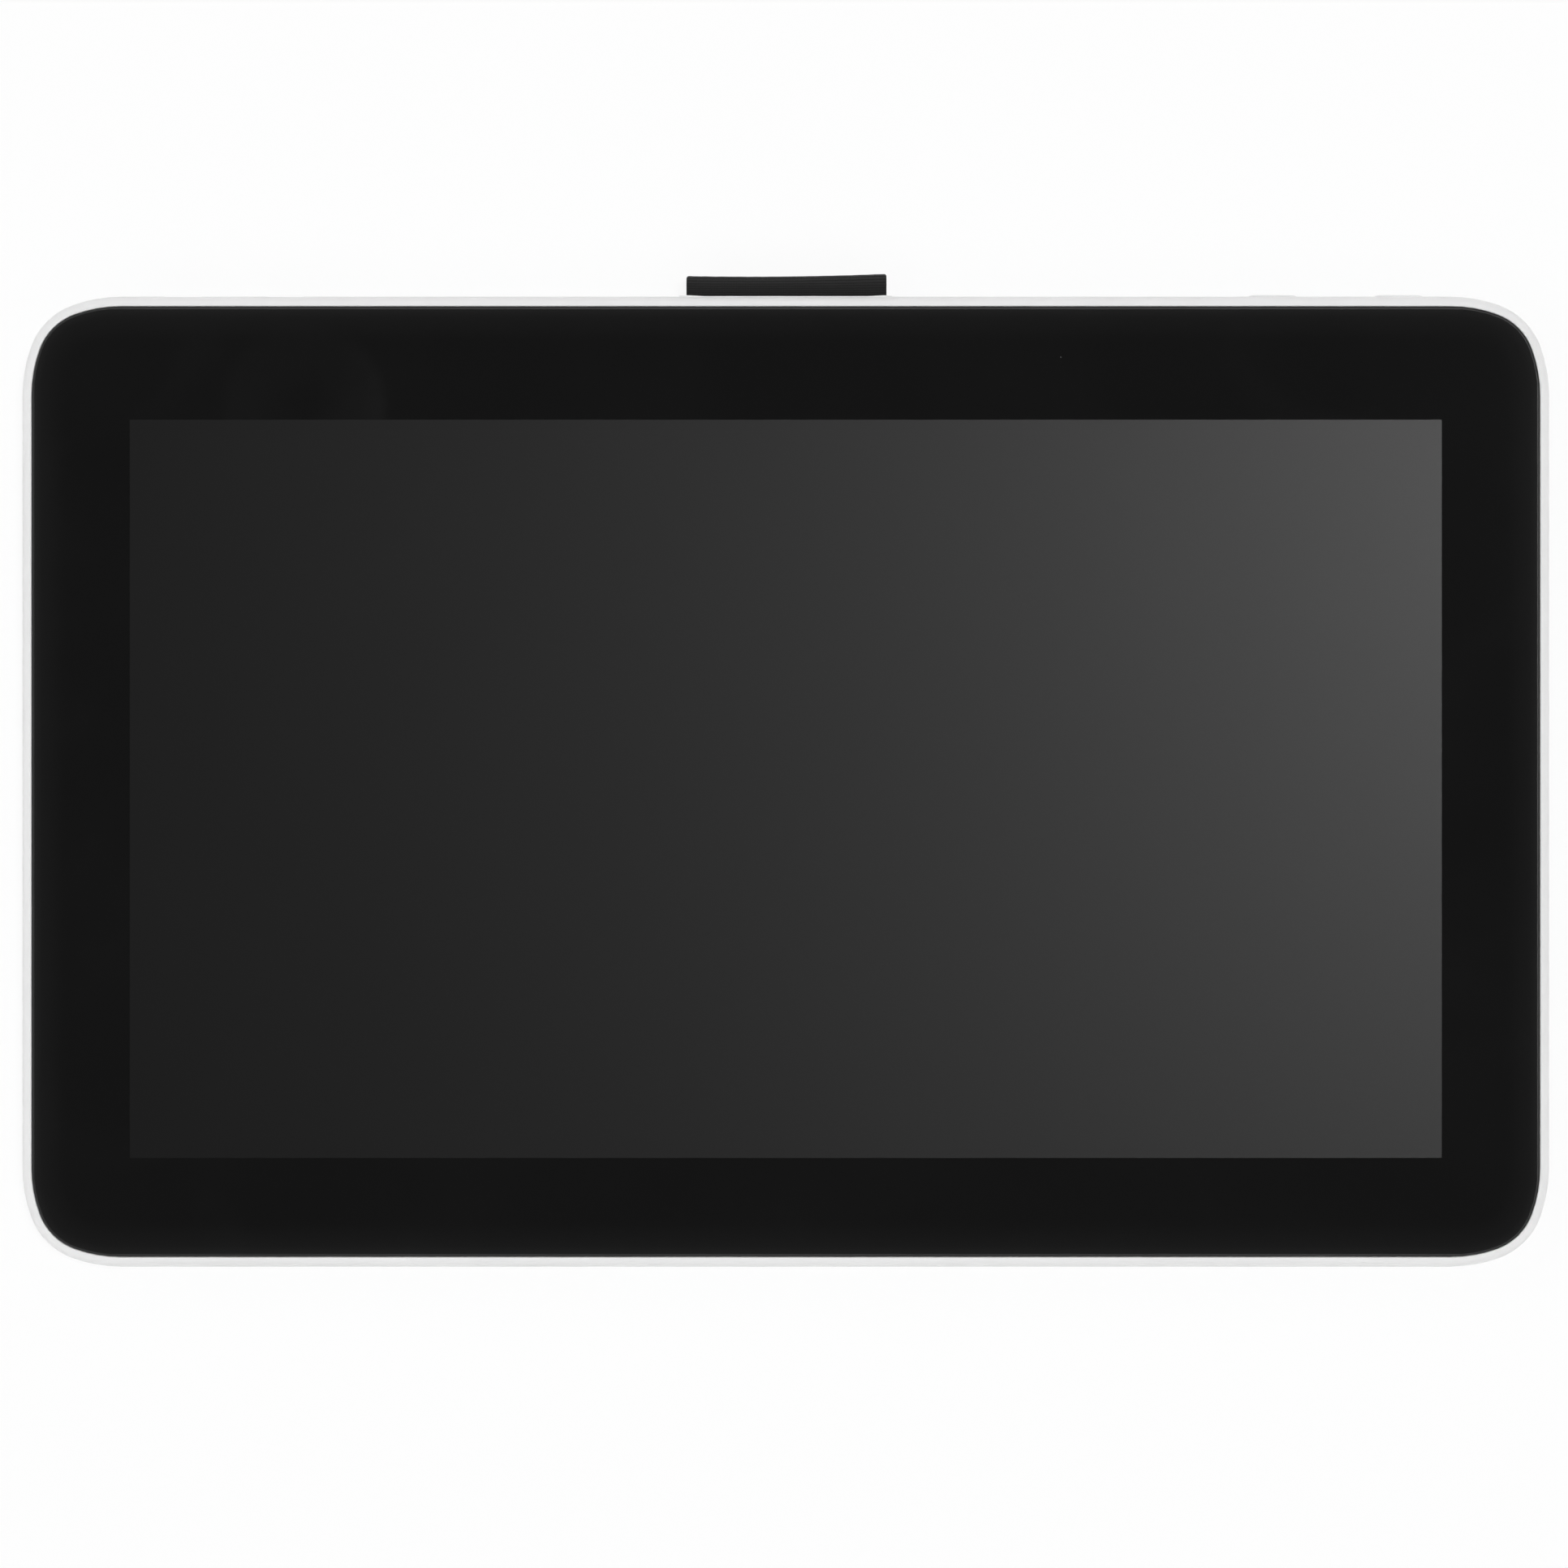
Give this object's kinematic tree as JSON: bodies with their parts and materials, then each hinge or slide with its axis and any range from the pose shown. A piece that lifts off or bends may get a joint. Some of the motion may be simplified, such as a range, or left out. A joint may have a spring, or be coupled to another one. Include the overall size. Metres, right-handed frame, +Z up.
{
  "type": "pen display tablet",
  "caption": "Thin drawing tablet with a built-in screen: black-bordered glass in a white rounded case, fabric pen loop and small buttons on its top edge.",
  "frame": {"origin": "centre of the base of the part's box, on the plane of the feet", "axes": "+X to the right across the screen, +Y towards the top edge with the pen loop, +Z up out of the screen"},
  "size_m": [0.299, 0.1942, 0.0099],
  "materials": {
    "shell_white": "fine matt moulded finish",
    "cover_glass": "etched anti-glare front",
    "black_print": "opaque print on the back of the glass",
    "clear_bond": "clear adhesive",
    "black_tape": "adhesive foam tape",
    "panel_glass": "switched-off display cell",
    "white_film": "white optical film",
    "clear_acrylic": "clear moulded acrylic",
    "lamp_strip": "lamp packages",
    "sheet_metal": "plain rolled sheet",
    "circuit_board": "solder-masked laminate",
    "foam": "closed-cell foam",
    "dark_plastic": "moulded",
    "ivory_plastic": "moulded",
    "screw_steel": "zinc-plated",
    "insert_brass": "knurled insert",
    "foot_rubber": "grey silicone rubber",
    "port_steel": "drawn port shell",
    "loop_fabric": "ribbed elastic webbing",
    "ribbon_film": "flexible printed ribbon"
  },
  "bodies": {
    "case": {"rear_cover": "shell_white", "front_frame": "shell_white", "cover_glass": "cover_glass", "border_print": "black_print", "optical_bond": "clear_bond", "glass_tape": "black_tape", "lcd_cell": "panel_glass", "diffuser_films": "white_film", "light_guide": "clear_acrylic", "reflector_sheet": "white_film", "led_bar": "lamp_strip", "panel_tray": "sheet_metal", "pen_sensor": "circuit_board", "sensor_shield": "sheet_metal", "foam_pads": "foam", "chassis": "dark_plastic", "frame_screws": "screw_steel", "thread_inserts": "insert_brass", "cover_screws": "screw_steel", "rubber_feet": "foot_rubber", "main_board": "circuit_board", "board_chips": "dark_plastic", "shield_can": "sheet_metal", "flex_connectors": "ivory_plastic", "usb_shells": "port_steel", "usb_tongues": "dark_plastic", "button_board": "circuit_board", "button_switches": "dark_plastic", "status_led": "lamp_strip", "light_pipe": "clear_acrylic", "board_screws": "screw_steel", "loop_guide": "dark_plastic", "display_flex": "ribbon_film", "sensor_flex": "ribbon_film", "button_flex": "ribbon_film"},
    "power_key": {"power_button": "shell_white", "power_plunger": "ivory_plastic"},
    "menu_key": {"menu_button": "shell_white", "menu_plunger": "ivory_plastic"},
    "loop": {"pen_loop": "loop_fabric", "loop_stop_bar": "dark_plastic"}
  },
  "joints": [
    {"name": "power_press", "type": "slide", "parent": "case", "child": "power_key", "axis": [0, -1, 0], "range_m": [0, 0.0003], "stiffness_N_per_m": 600, "springref_m": -0.0015},
    {"name": "menu_press", "type": "slide", "parent": "case", "child": "menu_key", "axis": [0, -1, 0], "range_m": [0, 0.0003], "stiffness_N_per_m": 600, "springref_m": -0.0015},
    {"name": "loop_pull", "type": "slide", "parent": "case", "child": "loop", "axis": [0, 1, 0], "range_m": [0, 0.0085]}
  ]
}
